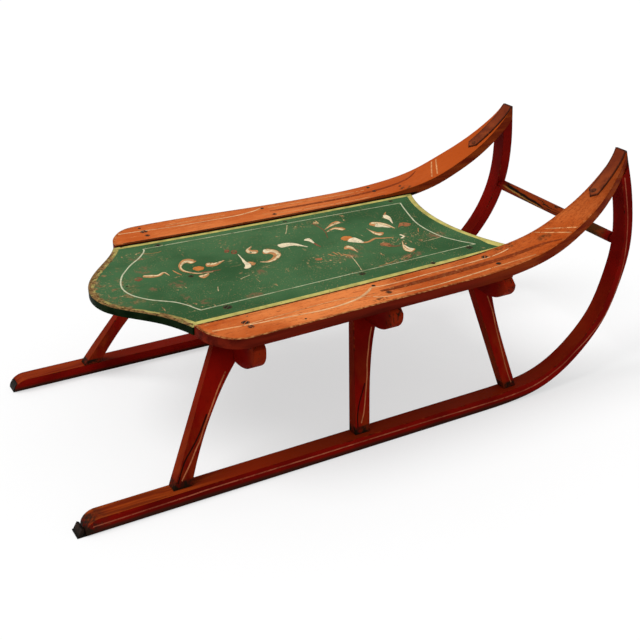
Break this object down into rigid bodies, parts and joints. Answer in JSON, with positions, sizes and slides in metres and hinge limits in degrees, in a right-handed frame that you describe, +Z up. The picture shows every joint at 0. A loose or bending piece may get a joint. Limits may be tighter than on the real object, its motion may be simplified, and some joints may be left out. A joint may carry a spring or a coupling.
{
  "type": "snow sled",
  "caption": "Painted wooden snow sled: deck between two side rails on splayed legs, with long steel-shod runners curving up to meet the rail tips and a round rung across the front.",
  "frame": {"origin": "on the ground under the middle of the sled's overall length and width", "axes": "+X forward to the turned-up nose, +Y to the sled's left, +Z up"},
  "size_m": [0.9363, 0.448, 0.3446],
  "materials": {
    "green_paint": "worn painted wood",
    "orange_paint": "worn painted wood",
    "red_paint": "aged painted wood",
    "worn_steel": "dark rusted iron"
  },
  "bodies": {
    "root": {"deck": "green_paint", "rail_left": "orange_paint", "rail_right": "orange_paint", "runner_left": "red_paint", "runner_right": "red_paint", "shoe_left": "worn_steel", "shoe_right": "worn_steel", "crossbar_rear": "red_paint", "crossbar_middle": "red_paint", "crossbar_front": "red_paint", "leg_rear_left": "red_paint", "leg_rear_right": "red_paint", "leg_middle_left": "red_paint", "leg_middle_right": "red_paint", "leg_front_left": "red_paint", "leg_front_right": "red_paint", "rung_front": "red_paint"}
  },
  "joints": []
}
